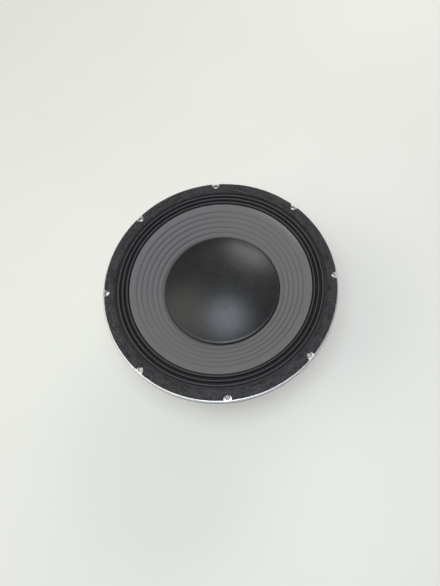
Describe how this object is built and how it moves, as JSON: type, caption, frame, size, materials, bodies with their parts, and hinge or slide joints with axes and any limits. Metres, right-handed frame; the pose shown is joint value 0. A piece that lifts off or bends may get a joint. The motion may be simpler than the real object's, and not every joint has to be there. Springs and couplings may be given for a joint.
{
  "type": "car subwoofer speaker",
  "caption": "Round car subwoofer speaker with a pressed steel frame, ribbed paper cone, pleated cloth surround, large dust cap and ferrite motor.",
  "frame": {"origin": "centre of the motor's back face, which the speaker stands on", "axes": "+Z along the cone's travel, out of the front; the push terminals are on the -Y side"},
  "size_m": [0.312, 0.312, 0.133],
  "materials": {
    "frame_steel": "zinc-plated pressed sheet, satin",
    "gasket_rubber": "matt black moulded gasket with a fine grain",
    "surround_cloth": "doped black cloth, pleated",
    "spider_cloth": "resin-dipped cotton, corrugated",
    "motor_steel": "black passivated steel plate",
    "vent_mesh": "black punched screen",
    "ferrite": "ground ferrite, dark grey",
    "cone_paper": "pressed grey paper pulp, matt",
    "cap_polymer": "satin black polymer dome",
    "former_aluminium": "rolled foil",
    "coil_copper": "enamelled copper wire",
    "lead_metal": "tinned copper braid",
    "terminal_black": "moulded black plastic",
    "terminal_red": "moulded red plastic",
    "spring_steel": "drawn spring wire",
    "contact_brass": "stamped brass with solder",
    "rivet_steel": "zinc-plated"
  },
  "bodies": {
    "frame_and_motor": {"basket": "frame_steel", "gasket": "gasket_rubber", "surround": "surround_cloth", "spider": "spider_cloth", "yoke": "motor_steel", "vent_screen": "vent_mesh", "magnet": "ferrite", "top_plate": "motor_steel", "frame_rivet_1": "rivet_steel", "frame_rivet_2": "rivet_steel", "frame_rivet_3": "rivet_steel", "frame_rivet_4": "rivet_steel", "frame_rivet_5": "rivet_steel", "frame_rivet_6": "rivet_steel", "terminal_plate": "terminal_black", "contact_lug_positive": "contact_brass", "contact_lug_negative": "contact_brass", "terminal_rivet_upper": "rivet_steel", "terminal_rivet_lower": "rivet_steel", "button_spring_positive": "spring_steel", "button_spring_negative": "spring_steel", "tinsel_lead_positive": "lead_metal", "tinsel_lead_negative": "lead_metal"},
    "cone_assembly": {"cone": "cone_paper", "dust_cap": "cap_polymer", "voice_coil_former": "former_aluminium", "voice_coil_winding": "coil_copper", "lead_anchor_positive": "lead_metal", "lead_anchor_negative": "lead_metal"},
    "push_button_positive": {"button_positive": "terminal_red"},
    "push_button_negative": {"button_negative": "terminal_black"}
  },
  "joints": [
    {"name": "cone_travel", "type": "slide", "parent": "frame_and_motor", "child": "cone_assembly", "axis": [0, 0, 1], "range_m": [-0.008, 0.008], "stiffness_N_per_m": 4000, "deforming": ["surround", "spider", "tinsel_lead_positive", "tinsel_lead_negative"]},
    {"name": "button_positive_press", "type": "slide", "parent": "frame_and_motor", "child": "push_button_positive", "axis": [0, -0.777, -0.6295], "range_m": [-0.003, 0], "stiffness_N_per_m": 400, "deforming": ["button_spring_positive"]},
    {"name": "button_negative_press", "type": "slide", "parent": "frame_and_motor", "child": "push_button_negative", "axis": [0, -0.777, -0.6295], "range_m": [-0.003, 0], "stiffness_N_per_m": 400, "deforming": ["button_spring_negative"]}
  ]
}
